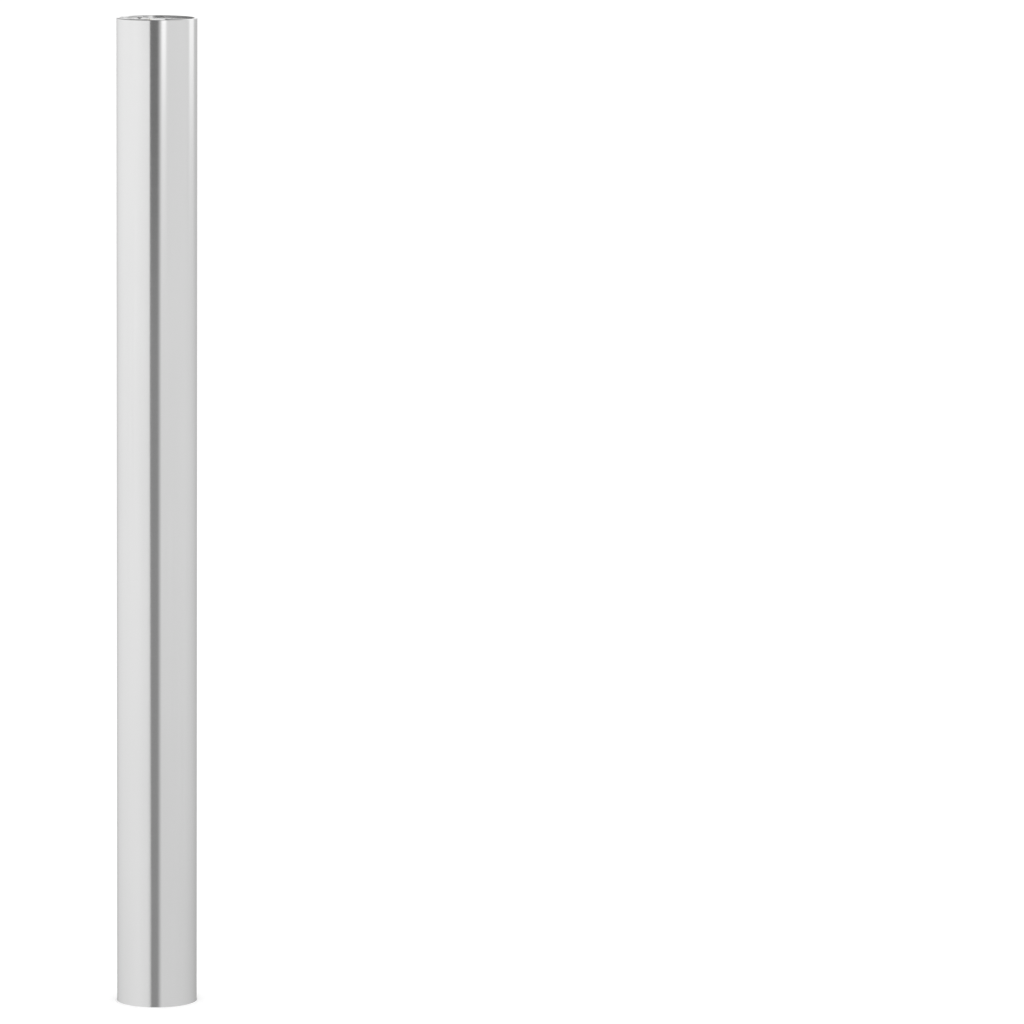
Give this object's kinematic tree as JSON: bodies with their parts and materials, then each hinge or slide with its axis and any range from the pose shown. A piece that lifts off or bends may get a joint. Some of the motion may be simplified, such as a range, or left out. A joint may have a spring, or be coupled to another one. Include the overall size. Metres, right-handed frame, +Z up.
{
  "type": "retractable bollard",
  "caption": "Round stainless post that telescopes into a flanged in-ground casing on a gas strut, with a key-turned bolt lock and a fold-flush lifting handle.",
  "frame": {"origin": "on the post's axis, on the underside of the buried anchor flange, at the centre of its four anchor holes; finished ground is 60 mm above", "axes": "+Z up along the post; +Y away from the pictured side; +X to the picture's right, towards the handle"},
  "size_m": [0.1688, 0.1688, 2.1233],
  "materials": {
    "stainless_tube": "satin, fine lengthwise grain",
    "stainless_cap": "satin, turned",
    "stainless_collar": "satin, turned",
    "stainless_small": "polished",
    "galvanised_steel": "hot-dip galvanised",
    "drain_steel": "hot-dip galvanised",
    "black_rubber": "matt",
    "guide_plastic": "natural acetal",
    "zinc_steel": "zinc plated",
    "black_strut": "black gloss",
    "chrome_rod": "hard chrome",
    "carrier_iron": "machined casting",
    "lock_brass": "turned, dulled",
    "hard_steel": "ground"
  },
  "bodies": {
    "casing": {"casing_tube": "galvanised_steel", "casing_head": "galvanised_steel", "collar_ring": "stainless_collar", "collar_screws": "stainless_small", "wiper_seal": "black_rubber", "guide_bush": "guide_plastic", "stop_sleeve": "galvanised_steel", "stop_cushion": "black_rubber", "key_rail": "galvanised_steel", "anchor_flange": "galvanised_steel", "flange_gussets": "galvanised_steel", "ground_lugs": "galvanised_steel", "strike_cups_raised": "galvanised_steel", "strike_cups_lowered": "galvanised_steel", "base_plate": "galvanised_steel", "drain_spigot": "drain_steel", "base_buffer": "black_rubber", "strut_bridge": "zinc_steel", "strut_rod": "chrome_rod", "strut_foot_nut": "zinc_steel", "strut_piston": "black_strut"},
    "post": {"post_tube": "stainless_tube", "cap_lugs": "zinc_steel", "top_cap": "stainless_cap", "cap_screws": "stainless_small", "lock_housing": "lock_brass", "lock_nut": "zinc_steel", "cover_rivet": "stainless_small", "handle_pin": "stainless_small", "strut_bracket": "zinc_steel", "rod_bearing": "guide_plastic", "strut_cylinder": "black_strut", "strut_gland": "black_strut", "strut_top_nut": "zinc_steel", "bolt_carrier": "carrier_iron", "carrier_lid": "carrier_iron", "carrier_screws": "zinc_steel", "lower_guide_ring": "guide_plastic", "stop_collar": "zinc_steel"},
    "lock": {"lock_spindle": "hard_steel", "lock_rod": "zinc_steel", "rod_pin": "zinc_steel", "lock_pinion": "hard_steel"},
    "left_bolt": {"bolt_left": "hard_steel"},
    "right_bolt": {"bolt_right": "hard_steel"},
    "handle": {"lift_handle": "stainless_small"},
    "cover": {"lock_cover": "stainless_small"}
  },
  "joints": [
    {"name": "post_lift", "type": "slide", "parent": "casing", "child": "post", "axis": [0, 0, 1], "range_m": [-0.938, 0], "stiffness_N_per_m": 18, "springref_m": 5.83},
    {"name": "lock_turn", "type": "hinge", "parent": "post", "child": "lock", "pos_m": [-0.016, 0, 0.966], "axis": [0, 0, 1], "range_deg": [0, 90]},
    {"name": "left_bolt_throw", "type": "slide", "parent": "post", "child": "left_bolt", "axis": [-1, 0, 0], "range_m": [0, 0.0118]},
    {"name": "right_bolt_throw", "type": "slide", "parent": "post", "child": "right_bolt", "axis": [1, 0, 0], "range_m": [0, 0.0118]},
    {"name": "handle_fold", "type": "hinge", "parent": "post", "child": "handle", "pos_m": [0.0115, 0, 0.9946], "axis": [0, -1, 0], "range_deg": [0, 90]},
    {"name": "cover_swivel", "type": "hinge", "parent": "post", "child": "cover", "pos_m": [-0.016, 0.014, 0.999], "axis": [0, 0, 1], "range_deg": [0, 90]}
  ],
  "couplings": [
    {"joint": "left_bolt_throw", "follows": "lock_turn", "m_per_rad": 0.0075},
    {"joint": "right_bolt_throw", "follows": "lock_turn", "m_per_rad": 0.0075}
  ]
}
